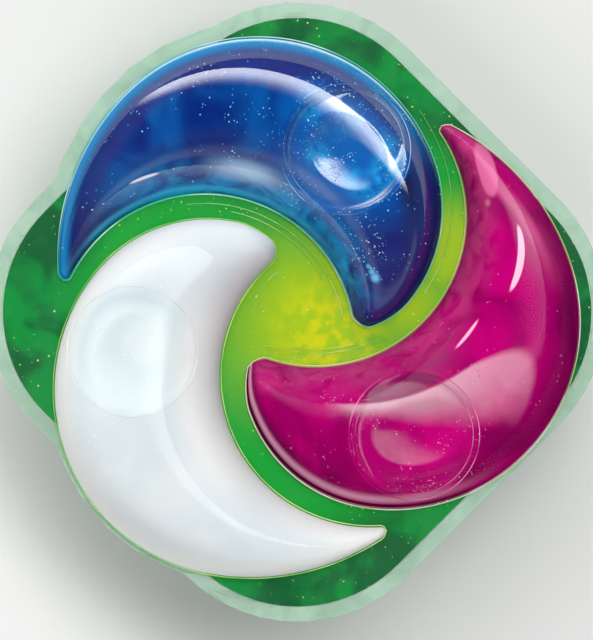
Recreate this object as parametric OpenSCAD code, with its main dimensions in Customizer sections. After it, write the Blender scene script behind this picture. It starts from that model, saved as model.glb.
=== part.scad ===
// Laundry detergent pod: one deep base chamber with three swirl chambers on top,
// made of three clear films sealed together at a flange, with a liquid in each chamber.
// The pod rests on the flat underside of its base chamber. Sizes are in millimetres.

/* [Base chamber] */
// Width of the base chamber's mouth across its flats
base_w = 44; // [40:0.5:48]
// Corner radius of the base chamber's mouth
base_corner_r = 12.5; // [9:0.5:16]
// Depth of the base chamber from the flange's top to the underside
base_depth = 12.5; // [9:0.5:17]
// Width of the flat underside across its flats
foot_w = 21; // [16:0.5:26]
// Squareness of the base chamber's wall, 2 is a plain round
base_bulge = 2.3; // [2:0.1:3]

/* [Films] */
// Thickness of each film
film_t = 0.1; // [0.08:0.01:0.2]
// Width of the flange outside the base chamber
flange_w = 1.3; // [0.8:0.1:2.5]
// Width of the seal outside the blue chamber
blue_seal_w = 1.4; // [0.4:0.1:2]
// Width of the seal outside the white chamber
white_seal_w = 0.5; // [0.4:0.1:2]
// Width of the seal outside the magenta chamber
magenta_seal_w = 0.5; // [0.4:0.1:2]
// Radius that blends the flange's outline where it turns inwards
flange_blend_r = 4; // [1:0.5:8]

/* [Swirl chambers] */
// Height of a swirl chamber above the middle film
swirl_h = 8.6; // [6:0.2:11]
// Radius of a chamber's main outer arc
main_r = 16.4; // [16:0.1:16.8]
// Distance from the pod's axis to the centre of the main outer arc
main_off = 8.45; // [8:0.05:8.9]
// Radius of the tighter outer arc round a chamber's head
head_r = 12.7; // [12:0.1:13.2]
// Direction from the main arc's centre in which the head arc begins
head_join = -93; // [-100:1:-86]
// Radius of the flatter outer arc along a chamber's tail
tail_r = 20.8; // [19:0.2:24]
// Direction from the main arc's centre in which the tail arc begins
tail_join = 24; // [10:1:40]
// Radius of the rounded tip of the head
head_tip_r = 1.3; // [0.8:0.1:1.8]
// Radius of the rounded tip of the tail
tail_tip_r = 0.4; // [0.3:0.05:0.8]
// Width of the channel beside a chamber's tail
channel_tail = 0.55; // [0.4:0.05:1]
// Width of the channel at the middle of the pod
channel_mid = 2.3; // [1.6:0.1:3]
// Direction in which the channel widens
channel_turn = -15; // [-20:1:-10]
// Squareness of a chamber's section across its width, 2 is a plain round
crown_across = 2.5; // [2:0.1:3.5]
// Squareness of a chamber's section up its wall, 2 is a plain round
crown_up = 2.1; // [1.6:0.1:3]
// How fast the height falls where a chamber narrows, 0 is not at all
crown_fall = 0.55; // [0.4:0.05:0.8]
// Lean of a chamber's ridge outwards, as a share of half the chamber's width
crown_lean = 0.17; // [0:0.01:0.25]

/* [Air bubbles] */
// Radius of the air bubble in each swirl chamber
bubble_r = 5.7; // [4:0.1:6]
// Depth of the air bubble under the crown
bubble_depth = 1.1; // [0.5:0.1:2]
// Distance from the pod's axis to an air bubble's middle
bubble_off = 14.8; // [14:0.1:15.4]
// Turn from the main arc's centre to an air bubble's middle
bubble_turn = -40.5; // [-44:0.5:-36]

/* [Hidden] */

// Turns of the blue, white and magenta chambers about the pod's axis
swirl_turn = [114, 234, 354];
seal_w = [blue_seal_w, white_seal_w, magenta_seal_w];

// Faces at which the films are sealed, upwards from the underside
flange_z = base_depth - film_t;
middle_z = base_depth;
top_z = middle_z + film_t;
// Height of the swirl chambers' film edge within the thickness of its sealed sheet
lap = film_t / 4;

// Steps round a corner, down the base wall, over a chamber's tip, along it and across it
corner_n = 11;
wall_n = 8;
tip_n = 3;
body_n = 20;
across_n = 12;
tip_first = 14;

function turned(p, a) = [p.x * cos(a) - p.y * sin(a), p.x * sin(a) + p.y * cos(a)];
function toward(a) = [cos(a), sin(a)];
function heading(v) = atan2(v.y, v.x);
function joined(lists) = [for (l = lists, p = l) p];
function lifted(ring, z) = [for (p = ring) [p.x, p.y, z]];
function signed_pow(x, e) = sign(x) * pow(abs(x), e);

// Side faces between rings of n points, the first ring below the next
function side_faces(rings, n) = [
    for (i = [0:rings - 2], k = [0:n - 1])
        let (next = (k + 1) % n)
        [i * n + k, (i + 1) * n + k, (i + 1) * n + next, i * n + next]
];

// Closed solid through a stack of convex rings, the lowest first
module stacked(rings) {
    n = len(rings[0]);
    last = (len(rings) - 1) * n;
    floor_face = [for (k = [0:n - 1]) k];
    roof_face = [for (k = [n - 1:-1:0]) last + k];
    polyhedron(joined(rings), concat([floor_face], side_faces(len(rings), n), [roof_face]));
}

function flipped(faces) = [for (f = faces) [for (k = [len(f) - 1:-1:0]) f[k]]];
function moved_faces(faces, by) = [for (f = faces) [for (i = f) i + by]];

// Shell with a floor and an open top, between an outer and an inner stack of rings
module walled(outer, inner) {
    n = len(outer[0]);
    m = n * len(outer);
    skin = concat([[for (k = [0:n - 1]) k]], side_faces(len(outer), n));
    rim = [for (k = [m - n:m - 1])
        let (next = k + 1 < m ? k + 1 : m - n)
        [k, m + k, m + next, next]];
    polyhedron(joined(concat(outer, inner)), concat(skin, flipped(moved_faces(skin, m)), rim));
}

// Rounded square of half width a, with its corners on the X and Y axes
function rounded_square(a, r) = [
    for (c = [0:3], k = [0:corner_n])
        turned([(a - r) * sqrt(2), 0] + r * toward(90 * k / corner_n - 45), 90 * c)
];

// Ring of the base chamber's wall, from the underside at 0 degrees to the flange at 90
function wall_ring(step, inset) =
    let (share = pow(sin(step), 2 / base_bulge),
         outer = base_w / 2 + film_t,
         a = foot_w / 2 + (outer - foot_w / 2) * share,
         r = (base_corner_r + film_t) * a / outer)
    rounded_square(a - inset, r - inset);
function wall_level(step) = 1 - pow(cos(step), 2 / base_bulge);
function wall_rings(inset, low, high) = [
    for (k = [0:wall_n])
        lifted(wall_ring(90 * k / wall_n, inset), low + (high - low) * wall_level(90 * k / wall_n))
];

// Centres of a chamber's outer arcs, in a frame whose X axis runs through the main arc's centre
main_c = [main_off, 0];
head_c = main_c + (main_r - head_r) * toward(head_join);
tail_c = main_c + (main_r - tail_r) * toward(tail_join);

// The inner edge is one arc round the next chamber's head, with the channel between them
inner_c = turned(head_c, 120) + (channel_mid - channel_tail) * toward(channel_turn);
inner_r = head_r + channel_tail;

// Distance from the inner arc's centre to the far side of a circle, in direction a
function far_side(c, r, a) =
    let (v = c - inner_c, off = norm(v) * sin(a - heading(v)))
    norm(v) * cos(a - heading(v)) + sqrt(r * r - off * off);
// Angle at the inner arc's centre between a circle's centre and its point at a distance
function spread(c, r, distance) =
    let (d = norm(c - inner_c))
    acos((distance * distance + d * d - r * r) / (2 * distance * d));

head_end = heading(main_c + main_r * toward(head_join) - inner_c);
tail_start = heading(main_c + main_r * toward(tail_join) - inner_c);
function outer_edge(a) =
    a < head_end ? far_side(head_c, head_r, a) :
    a < tail_start ? far_side(main_c, main_r, a) : far_side(tail_c, tail_r, a);

// A chamber runs from its head's tip to its tail's tip, each rounded over one tip radius
head_tip = heading(head_c - inner_c) - spread(head_c, head_r, inner_r + 2 * head_tip_r);
tail_tip = heading(tail_c - inner_c) + spread(tail_c, tail_r, inner_r + 2 * tail_tip_r);
function arc_angle(length, r) = length / r * 180 / PI;
head_round = arc_angle(head_tip_r, inner_r + head_tip_r);
tail_round = arc_angle(tail_tip_r, inner_r + tail_tip_r);
widest = norm(main_c - inner_c) + main_r - inner_r;

// Stations along a chamber: direction from the inner arc's centre and share of the full width
tip_steps = [for (k = [0:tip_n]) tip_first + (90 - tip_first) * k / tip_n];
body_from = head_tip + head_round;
body_to = tail_tip - tail_round;
stations = concat(
    [for (s = tip_steps) [head_tip + head_round * (1 - cos(s)), sin(s)]],
    [for (k = [1:body_n - 1]) [body_from + (body_to - body_from) * k / body_n, 1]],
    [for (k = [tip_n:-1:0]) [tail_tip - tail_round * (1 - cos(tip_steps[k])), sin(tip_steps[k])]]
);

// Section across a chamber at a station, from its inner foot over the crown to its outer foot
function section(station, h, grow) =
    let (full = outer_edge(station[0]) - inner_r,
         width = full * station[1],
         crown = h * pow(width / widest, crown_fall) + grow)
    [for (j = [0:across_n])
        let (s = 180 * j / across_n,
             u = -signed_pow(cos(s), 2 / crown_across),
             across = (u + crown_lean * (1 - u * u)) * (width / 2 + grow),
             p = inner_c + (inner_r + full / 2 + across) * toward(station[0]))
        [p.x, p.y, top_z + crown * pow(sin(s), 2 / crown_up)]];
function tip_point(a, r) =
    let (p = inner_c + (inner_r + r) * toward(a))
    [p.x, p.y, top_z];

// All points of a dome: the head's tip, the sections, the tail's tip
function dome_points(h, grow) = concat(
    [tip_point(head_tip - arc_angle(grow, inner_r), head_tip_r)],
    joined([for (s = stations) section(s, h, grow)]),
    [tip_point(tail_tip + arc_angle(grow, inner_r), tail_tip_r)]
);
station_n = len(stations);
row_n = across_n + 1;
tail_point = station_n * row_n + 1;
function cell(i, j) = 1 + i * row_n + j;
dome_faces = concat(
    [for (j = [0:across_n - 1]) [0, cell(0, j), cell(0, j + 1)]],
    [for (i = [0:station_n - 2], j = [0:across_n - 1])
        [cell(i, j), cell(i + 1, j), cell(i + 1, j + 1), cell(i, j + 1)]],
    [for (j = [0:across_n - 1])
        [cell(station_n - 1, j + 1), cell(station_n - 1, j), tail_point]]
);

// Foot of a dome: its points in order round the outline, along the inner edge and back
foot_ring = concat(
    [0],
    [for (i = [0:station_n - 1]) cell(i, 0)],
    [tail_point],
    [for (i = [station_n - 1:-1:0]) cell(i, across_n)]
);
foot_n = len(foot_ring);
function foot_points(grow) =
    let (points = dome_points(swirl_h, grow))
    [for (i = foot_ring) [points[i].x, points[i].y]];

// Contents of a chamber of height h, standing on the middle film
module fill(h) {
    inner = foot_ring;
    floor_head = [inner[1], 0, inner[foot_n - 1]];
    floor_body = [for (i = [1:station_n - 1])
        [inner[i + 1], inner[i], inner[foot_n - i], inner[foot_n - i - 1]]];
    floor_tail = [tail_point, inner[station_n], inner[station_n + 2]];
    polyhedron(dome_points(h, 0), concat(dome_faces, [floor_head], floor_body, [floor_tail]));
}

// Film that is formed over a chamber, open below
module formed_film() {
    skin = dome_points(swirl_h, film_t);
    n = len(skin);
    rim = [for (k = [0:foot_n - 1])
        let (next = (k + 1) % foot_n)
        [foot_ring[next], foot_ring[k], n + foot_ring[k], n + foot_ring[next]]];
    polyhedron(concat(skin, dome_points(swirl_h, 0)),
               concat(dome_faces, flipped(moved_faces(dome_faces, n)), rim));
}

// Outline of the flange: the base chamber's and each swirl chamber's seal, blended
module flange_outline() {
    offset(r = -flange_blend_r, $fn = 96) offset(delta = flange_blend_r) {
        polygon(rounded_square(base_w / 2 + flange_w, base_corner_r + flange_w));
        for (i = [0:2])
            rotate(swirl_turn[i]) offset(r = seal_w[i], $fn = 48) polygon(foot_points(0));
    }
}

// Shell that hangs from the flange, with a flat floor to stand on
module base_film() color([0.72, 0.93, 0.78, 0.5]) {
    translate([0, 0, flange_z]) linear_extrude(film_t) difference() {
        flange_outline();
        polygon(wall_ring(90, film_t));
    }
    walled(wall_rings(0, 0, flange_z), wall_rings(film_t, film_t, flange_z));
}

// Flat sheet between the base chamber and the swirl chambers
module middle_film() color([0.8, 0.95, 0.85, 0.5])
    translate([0, 0, middle_z]) linear_extrude(film_t) flange_outline();

// Sheet with the three swirl chambers formed in it
module top_film() color([0.9, 0.95, 1, 0.5]) {
    translate([0, 0, top_z]) linear_extrude(film_t) difference() {
        flange_outline();
        for (a = swirl_turn) rotate(a) polygon(foot_points(film_t / 2));
    }
    for (a = swirl_turn) translate([0, 0, lap]) rotate(a) formed_film();
}

// Liquid that fills the base chamber up to the middle film
module green_liquid() color([0, 0.62, 0.2])
    stacked(concat(wall_rings(film_t, film_t, flange_z), [lifted(wall_ring(90, film_t), middle_z)]));

// Liquid of one swirl chamber, with the air bubble under its film
module swirl_liquid(i) rotate(swirl_turn[i]) difference() {
    fill(swirl_h);
    difference() {
        translate(concat(bubble_off * toward(bubble_turn), [top_z]))
            cylinder(h = 2 * swirl_h, r = bubble_r, $fn = 72);
        fill(swirl_h - bubble_depth);
    }
}

module blue_liquid() color([0.08, 0.2, 0.6]) swirl_liquid(0);
module white_liquid() color([0.93, 0.95, 0.98]) swirl_liquid(1);
module magenta_liquid() color([0.8, 0, 0.45]) swirl_liquid(2);

base_film();
middle_film();
top_film();
green_liquid();
blue_liquid();
white_liquid();
magenta_liquid();
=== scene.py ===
import bpy
import numpy as np
from mathutils.geometry import tessellate_polygon
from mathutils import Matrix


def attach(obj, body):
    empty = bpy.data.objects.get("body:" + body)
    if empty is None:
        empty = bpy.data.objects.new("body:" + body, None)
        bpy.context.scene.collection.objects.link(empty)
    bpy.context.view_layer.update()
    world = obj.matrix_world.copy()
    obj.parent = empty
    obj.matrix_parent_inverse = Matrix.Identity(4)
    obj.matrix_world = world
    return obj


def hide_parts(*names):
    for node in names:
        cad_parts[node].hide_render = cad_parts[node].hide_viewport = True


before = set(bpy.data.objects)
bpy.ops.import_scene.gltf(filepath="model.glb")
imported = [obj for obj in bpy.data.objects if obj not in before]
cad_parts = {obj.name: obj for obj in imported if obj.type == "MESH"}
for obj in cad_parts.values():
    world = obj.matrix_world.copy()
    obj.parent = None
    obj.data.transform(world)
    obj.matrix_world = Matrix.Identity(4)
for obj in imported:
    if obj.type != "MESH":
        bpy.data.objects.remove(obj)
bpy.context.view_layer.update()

# ---- Base film ----
# The deep chamber of the pod: one clear water-soluble film drawn into a rounded square cavity.
# It stands on its flat underside and ends in a flange that the two other films are sealed to.
MM = 0.001
FILM = 0.1
MOUTH_HALF = 22.1
MOUTH_CORNER = 12.6
FOOT_HALF = 10.5
WALL_POWER = 2 / 2.3
FLANGE_Z = 12.4
CORNER_STEPS = 22
FLAT_STEPS = 10
WALL_STEPS = 36
SHARP_EDGE = 50
# The films' shine: its index, the most that it may reflect, and its roughness
SHINE_IOR, SHINE_LIMIT, SHINE_ROUGHNESS = 1.85, 0.12, 0.025


def toward(degrees):
    """Unit vectors on the pod's flat face."""
    a = np.radians(degrees)
    return np.stack([np.cos(a), np.sin(a)], axis=-1)


def turned(points, degrees):
    """Points turned about the pod's axis."""
    c, s = toward(degrees)
    out = np.array(points, float)
    out[..., 0] = points[..., 0] * c - points[..., 1] * s
    out[..., 1] = points[..., 0] * s + points[..., 1] * c
    return out


def rounded_square(half, corner):
    """Outline with its corners on the X and Y axes, evenly stepped along the flats too."""
    arc = np.array([(half - corner) * 2**0.5, 0]) + corner * toward(np.linspace(-45, 45, CORNER_STEPS + 1))
    corners = [turned(arc, 90 * c) for c in range(4)]
    loop = []
    for c in range(4):
        start, end = corners[c][-1], corners[(c + 1) % 4][0]
        flat = [start + (end - start) * k / FLAT_STEPS for k in range(1, FLAT_STEPS)]
        loop.append(np.vstack([corners[c], flat]))
    return np.vstack(loop)


def wall_rings(inset, low, high):
    """Rings of the base chamber's wall from its underside up to the flange."""
    rings = []
    for s in np.radians(np.linspace(0, 90, WALL_STEPS + 1)):
        half = FOOT_HALF + (MOUTH_HALF - FOOT_HALF) * np.sin(s) ** WALL_POWER
        ring = rounded_square(half - inset, MOUTH_CORNER * half / MOUTH_HALF - inset)
        level = 1 - max(np.cos(s), 0) ** WALL_POWER
        rings.append(np.column_stack([ring, np.full(len(ring), low + (high - low) * level)]))
    return rings


def shrunk(ring, share):
    """A ring drawn in towards its middle."""
    return ring.mean(0) + (ring - ring.mean(0)) * share


def lofted(rings, cap_end=True):
    """Points and faces through rings of equal length, closed at the start and, if asked, at the end."""
    rings = [np.asarray(r, float) for r in rings]
    rings = [shrunk(rings[0], share) for share in (0.3, 0.65)] + rings
    if cap_end:
        rings = rings + [shrunk(rings[-1], share) for share in (0.65, 0.3)]
    n, m = len(rings[0]), len(rings)
    points = np.vstack(rings + [rings[0].mean(0)])
    k = np.arange(n)
    faces = []
    for i in range(m - 1):
        a, b = i * n + k, i * n + (k + 1) % n
        faces += np.stack([a, b, b + n, a + n], axis=1).tolist()
    faces += [[m * n, (j + 1) % n, j] for j in range(n)]
    if cap_end:
        top = (m - 1) * n
        faces += [[len(points), top + j, top + (j + 1) % n] for j in range(n)]
        points = np.vstack([points, rings[-1].mean(0)])
    return points, faces


def plate(outline, holes, low, high):
    """Flat sheet between two heights, with holes."""
    loops = [np.asarray(outline)] + [np.asarray(h) for h in holes]
    flat = np.vstack(loops)
    n = len(flat)
    points = np.vstack([np.column_stack([flat, np.full(n, z)]) for z in (low, high)])
    faces = []
    for a, b, c in tessellate_polygon([[(*p, 0) for p in loop] for loop in loops]):
        u, v = flat[b] - flat[a], flat[c] - flat[a]
        if u[0] * v[1] - u[1] * v[0] < 0:
            b, c = c, b
        faces += [[n + a, n + b, n + c], [a, c, b]]
    first = 0
    for loop in loops:
        m = len(loop)
        area = np.sum(loop[:, 0] * np.roll(loop[:, 1], -1) - np.roll(loop[:, 0], -1) * loop[:, 1])
        outer = loop is loops[0]
        for j in range(m):
            a, b = first + j, first + (j + 1) % m
            if (area > 0) != outer:
                a, b = b, a
            faces.append([a, b, n + b, n + a])
        first += m
    return points, faces


def merged(*parts):
    """Several point and face lists as one."""
    points, faces, at = [], [], 0
    for p, f in parts:
        points.append(p)
        faces += [[i + at for i in face] for face in f]
        at += len(p)
    return np.vstack(points), faces


def inside_out(part):
    """The same faces, looking the other way."""
    points, faces = part
    return points, [face[::-1] for face in faces]


def piece(name, part, material, node):
    """A finished piece: its mesh in metres, smooth but for its sharp edges, riding on the pod."""
    points, faces = part
    mesh = bpy.data.meshes.new(name)
    mesh.from_pydata((np.asarray(points) * MM).tolist(), [], faces)
    mesh.shade_smooth()
    mesh.set_sharp_from_angle(angle=np.radians(SHARP_EDGE))
    mesh.materials.append(material)
    obj = bpy.data.objects.new(name, mesh)
    bpy.context.scene.collection.objects.link(obj)
    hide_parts(node)
    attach(obj, "root")
    return obj


def node_in(tree, kind, links=(), **settings):
    """A node with its settings, its plain socket values and its links: {socket: value or output}."""
    made = tree.nodes.new(kind)
    for key, value in settings.items():
        setattr(made, key, value)
    for key, value in dict(links).items():
        socket = made.inputs[key]
        if isinstance(value, bpy.types.NodeSocket):
            tree.links.new(value, socket)
        else:
            socket.default_value = value
    return made


def maths(tree, operation, *values):
    """The result of a sum, a product or the like."""
    return node_in(tree, "ShaderNodeMath", dict(enumerate(values)), operation=operation).outputs[0]


def new_group(name, kind, inputs, outputs):
    """A node group from its inputs, {name: (socket, value)}, and outputs, {name: socket}."""
    group = bpy.data.node_groups.new(name, kind)
    for label, (socket, value) in inputs.items():
        made = group.interface.new_socket(label, in_out="INPUT", socket_type="NodeSocket" + socket)
        if value is not None:
            made.default_value = value
    for label, socket in outputs.items():
        group.interface.new_socket(label, in_out="OUTPUT", socket_type="NodeSocket" + socket)
    return group, node_in(group, "NodeGroupInput")


def new_material(name):
    """An empty material and its node tree."""
    material = bpy.data.materials.new(name)
    material.use_nodes = True
    material.node_tree.nodes.clear()
    return material, material.node_tree


def film_group():
    """Soft creases and fine pull marks of a thin sealed film, as a normal."""
    group, given = new_group("film_creases", "ShaderNodeTree", {
        "Scale": ("Float", 180), "Strength": ("Float", 0.1)}, {"Normal": "Vector", "Mask": "Float"})
    place = node_in(group, "ShaderNodeTexCoord")
    soft = node_in(group, "ShaderNodeTexNoise", {
        "Vector": place.outputs["Object"], "Scale": given.outputs["Scale"], "Detail": 3.0,
        "Roughness": 0.55, "Distortion": 1.2})
    bump = node_in(group, "ShaderNodeBump", {
        "Height": soft.outputs["Fac"], "Strength": given.outputs["Strength"], "Distance": 0.0004})
    out = node_in(group, "NodeGroupOutput")
    group.links.new(bump.outputs["Normal"], out.inputs["Normal"])
    group.links.new(soft.outputs["Fac"], out.inputs["Mask"])
    return group


creases = film_group()


def stored(tree, name):
    """A value that a piece's points carry."""
    carried = node_in(tree, "ShaderNodeAttribute", attribute_name=name, attribute_type="GEOMETRY")
    return carried.outputs["Fac"]


def clear_film(name, tint, milk, milk_amount, crease_scale, crease_strength, ior=SHINE_IOR, gloss=None):
    """Clear glossy film: it shows what is behind it, with a little milkiness where it is sealed."""
    material, tree = new_material(name)
    crease = node_in(tree, "ShaderNodeGroup", node_tree=creases)
    crease.inputs["Scale"].default_value = crease_scale
    crease.inputs["Strength"].default_value = crease_strength
    normal = crease.outputs["Normal"]
    through = node_in(tree, "ShaderNodeBsdfTransparent", {"Color": tint})
    body = node_in(tree, "ShaderNodeBsdfPrincipled", {
        "Base Color": milk, "Roughness": 0.25, "Normal": normal})
    share = node_in(tree, "ShaderNodeMath", {
        0: crease.outputs["Mask"], 1: milk_amount * 2}, operation="MULTIPLY", use_clamp=True)
    veil = node_in(tree, "ShaderNodeMixShader", {
        0: share.outputs[0], 1: through.outputs[0], 2: body.outputs[0]})
    mirror = node_in(tree, "ShaderNodeBsdfGlossy", {
        "Color": (1, 1, 1, 1), "Roughness": SHINE_ROUGHNESS, "Normal": normal})
    fresnel = node_in(tree, "ShaderNodeFresnel", {"IOR": ior, "Normal": normal})
    side = node_in(tree, "ShaderNodeNewGeometry")
    front = maths(tree, "SUBTRACT", 1.0, side.outputs["Backfacing"])
    shine = maths(tree, "MULTIPLY", maths(tree, "MINIMUM", fresnel.outputs[0], SHINE_LIMIT), front)
    if gloss:
        shine = maths(tree, "MULTIPLY", shine, stored(tree, gloss))
    mixed = node_in(tree, "ShaderNodeMixShader", {0: shine, 1: veil.outputs[0], 2: mirror.outputs[0]})
    node_in(tree, "ShaderNodeOutputMaterial", {"Surface": mixed.outputs[0]})
    return material


# The flange's outline is the edge of the flat middle film, in order round the pod
middle = np.array([v.co[:2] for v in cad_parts["middle_film"].data.vertices]) / MM
middle = np.unique(np.round(middle, 4), axis=0)
flange_outline = middle[np.argsort(np.arctan2(middle[:, 1], middle[:, 0]))]

outer_wall = wall_rings(0, 0, FLANGE_Z)
inner_wall = wall_rings(FILM, FILM, FLANGE_Z)
n_ring = len(outer_wall[0])
bowl_outer = lofted(outer_wall, cap_end=False)
bowl_inner = inside_out(lofted(inner_wall, cap_end=False))
outer_rim = [np.argmin(np.linalg.norm(bowl_outer[0] - p, axis=1)) for p in outer_wall[-1]]
bowl = merged(bowl_outer, bowl_inner)
shift = len(bowl_outer[0])
bowl[1].extend(
    [outer_rim[k], outer_rim[(k + 1) % n_ring], shift + outer_rim[(k + 1) % n_ring], shift + outer_rim[k]]
    for k in range(n_ring))
lower_flange = plate(flange_outline, [rounded_square(MOUTH_HALF - FILM, MOUTH_CORNER - FILM)],
                     FLANGE_Z, FLANGE_Z + FILM)
base_film = clear_film("base_film", (0.97, 0.99, 0.97, 1), (0.75, 0.9, 0.78, 1), 0.0, 160, 0.2, ior=1.45)
piece("base_film", bowl, base_film, "base_film")
sealed_flange = clear_film("sealed_flange", (0.76, 0.92, 0.81, 1), (0.66, 0.84, 0.73, 1), 0.5, 110, 0.15)
piece("base_flange", lower_flange, sealed_flange, "base_film")

# ---- Green liquid ----
# Clear green detergent that fills the base chamber up to the middle film.
# It is deep green at the corners and yellow-green in the middle, partly its own tone and partly painted
# glow, with fine bubbles.
LIQUID_GAP, TOP_GAP = 0.04, 0.02
GREEN = {
    "shadow": (0.0, 0.115, 0.03, 1), "corner": (0.0, 0.27, 0.045, 1), "wall": (0.0, 0.24, 0.042, 1),
    "fresh": (0.004, 0.38, 0.038, 1), "lime": (0.40, 0.56, 0.008, 1), "yellow": (0.66, 0.64, 0.0, 1),
}
# Spots are a place on the pod, the reach at which they end and the core in which they are full, in mm
FRESH_SPOT = (0, 0, FLANGE_Z, 22.0, 16.5)
# The lime and yellow spots carry painted glow as well as the liquid's own tone
LIME_SPOTS = ((1.5, -0.8, FLANGE_Z, 13.0, 1.0), (9.5, 0.8, FLANGE_Z, 6.5, 0.0))
EAST_SPOT = (13.3, 5.6, FLANGE_Z, 6.5, 1.0)
YELLOW_SPOT = (2.6, -1.6, FLANGE_Z, 7.0, 0.5)


def coloured_liquid(name, colour, roughness, scatter, scatter_radius, reach, ior=1.33, wet_shine=0.0):
    """Material of a thick dyed liquid: colour from nodes, light that spreads inside, a wet shine."""
    material, tree = new_material(name)
    body = node_in(tree, "ShaderNodeBsdfPrincipled", {
        "Base Color": colour(tree), "Roughness": roughness, "Subsurface Weight": scatter,
        "Subsurface Radius": scatter_radius, "Subsurface Scale": reach * MM, "IOR": ior,
        "Specular IOR Level": wet_shine})
    node_in(tree, "ShaderNodeOutputMaterial", {"Surface": body.outputs[0]})
    return material


def mix(tree, factor, a, b):
    """Two colours mixed: the first at 0, the second at 1."""
    return node_in(tree, "ShaderNodeMix", {0: factor, 6: a, 7: b}, data_type="RGBA").outputs[2]


def scaled(tree, value, low, high):
    """A value from low to high as 0 to 1, eased at both ends."""
    return node_in(tree, "ShaderNodeMapRange", {
        "Value": value, "From Min": low, "From Max": high}, interpolation_type="SMOOTHSTEP").outputs[0]


def times(tree, *values):
    """The product of values."""
    out = values[0]
    for value in values[1:]:
        out = maths(tree, "MULTIPLY", out, value)
    return out


def noise(tree, scale, detail=2.0, distortion=0.0):
    """Clouds that stay where they are in the pod."""
    place = node_in(tree, "ShaderNodeTexCoord").outputs["Object"]
    return node_in(tree, "ShaderNodeTexNoise", {
        "Vector": place, "Scale": scale, "Detail": detail, "Distortion": distortion}).outputs["Fac"]


def near(tree, x, y, z, reach, core):
    """A spot: 1 in its core, falling to 0 at its reach."""
    place = node_in(tree, "ShaderNodeTexCoord").outputs["Object"]
    away = node_in(tree, "ShaderNodeVectorMath", {
        0: place, 1: (x * MM, y * MM, z * MM)}, operation="DISTANCE").outputs["Value"]
    return scaled(tree, away, reach * MM, core * MM)


def coat(tree, colour, tone, *shares):
    """A tone laid over a colour, by the product of its shares."""
    return mix(tree, times(tree, *shares), colour, tone)


def larger(tree, *values):
    """The largest of values."""
    out = values[0]
    for value in values[1:]:
        out = maths(tree, "MAXIMUM", out, value)
    return out


def green_colour(tree):
    """The green's tones: clouds at the corners, fresh green inside and yellow in the middle, partly painted
    glow.
    """
    place = node_in(tree, "ShaderNodeTexCoord").outputs["Object"]
    height = node_in(tree, "ShaderNodeSeparateXYZ", {"Vector": place}).outputs["Z"]
    cloud = scaled(tree, noise(tree, 210, 3.0, 0.6), 0.38, 0.6)
    colour = mix(tree, cloud, GREEN["shadow"], GREEN["corner"])
    colour = coat(tree, colour, GREEN["wall"], scaled(tree, height, 11.5 * MM, 9.5 * MM), 0.6)
    colour = coat(tree, colour, GREEN["fresh"], near(tree, *FRESH_SPOT))
    # Lime and yellow in the middle: partly the liquid's own tone, partly painted glow of light passing
    # through it
    east = times(tree, near(tree, *EAST_SPOT), 0.95)
    lime = larger(tree, *[near(tree, *spot) for spot in LIME_SPOTS], east)
    colour = coat(tree, colour, GREEN["lime"], lime, scaled(tree, noise(tree, 260, 2.0), 0.1, 0.5))
    grain = scaled(tree, noise(tree, 900, 3.0), 0.4, 0.62)
    return coat(tree, colour, GREEN["yellow"], near(tree, *YELLOW_SPOT), grain)


green_rings = wall_rings(FILM + LIQUID_GAP, FILM + LIQUID_GAP, FLANGE_Z)
green_top = green_rings[-1].copy()
green_top[:, 2] = FLANGE_Z + FILM - TOP_GAP
green = lofted(green_rings + [green_top])
green_liquid = coloured_liquid("green_liquid", green_colour, 0.3, 0.15, (0.3, 1.0, 0.3), 1.5)
piece("green_liquid", green, green_liquid, "green_liquid")

# ---- Middle film ----
# Flat film that closes the base chamber and carries the swirl chambers.
# It is sealed to the base film all round, and shows only between the swirl chambers and at the flange.
MIDDLE_TINT, MIDDLE_MILK = (0.98, 0.99, 0.98, 1), (0.7, 0.88, 0.74, 1)
middle_film = clear_film("middle_film", MIDDLE_TINT, MIDDLE_MILK, 0.01, 200, 0.12, ior=1.15)
middle_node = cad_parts["middle_film"]
middle_node.data.materials.clear()
middle_node.data.materials.append(middle_film)

# ---- Swirl liquids ----
# Blue, white and magenta detergent, each in a comma-shaped chamber that curls round the next one.
# The liquid fills its chamber up to the film, apart from a round air bubble under the crown.
TOP_Z = 12.6
SWIRL_H = 8.6
TURNS = {"blue": 114, "white": 234, "magenta": 354}
# A chamber's outline: outer arcs of the main part, head and tail, an inner arc and rounded tips
MAIN_R, MAIN_OFF = 16.4, 8.45
HEAD_R, HEAD_JOIN = 12.7, -93
TAIL_R, TAIL_JOIN = 20.8, 24
HEAD_TIP_R, TAIL_TIP_R = 1.3, 0.4
CHANNEL_TAIL, CHANNEL_MID, CHANNEL_TURN = 0.55, 2.3, -15
CROWN_ACROSS, CROWN_UP, CROWN_FALL, CROWN_LEAN = 2.5, 2.1, 0.55, 0.17
BUBBLE_R, BUBBLE_OFF, BUBBLE_TURN = 5.7, 14.8, -40.5
# Each air bubble's depth, and the place, bottom height and curvature radii of the round pocket in it
AIR_POCKETS = {
    "blue": (0.7, (0.2, -0.9), 6.6, (6.9, 6.9)),
    "white": (0.3, (0.0, -0.3), 7.3, (12.0, 12.0)),
    "magenta": (0.6, (0.0, 0.4), 6.8, (10.0, 6.2)),
}
# Widths of the dish's edge, of the pocket's rounding and of the wet ring in the bubble
DISH_EASE, POCKET_SOFT, WET_RING = 1.1, 0.2, 0.3
FOOT_LIFT, CLEAR_OF_FOOT = 0.01, 1.0
ALONG, ACROSS, TIP_STEPS = 220, 110, 12
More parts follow.
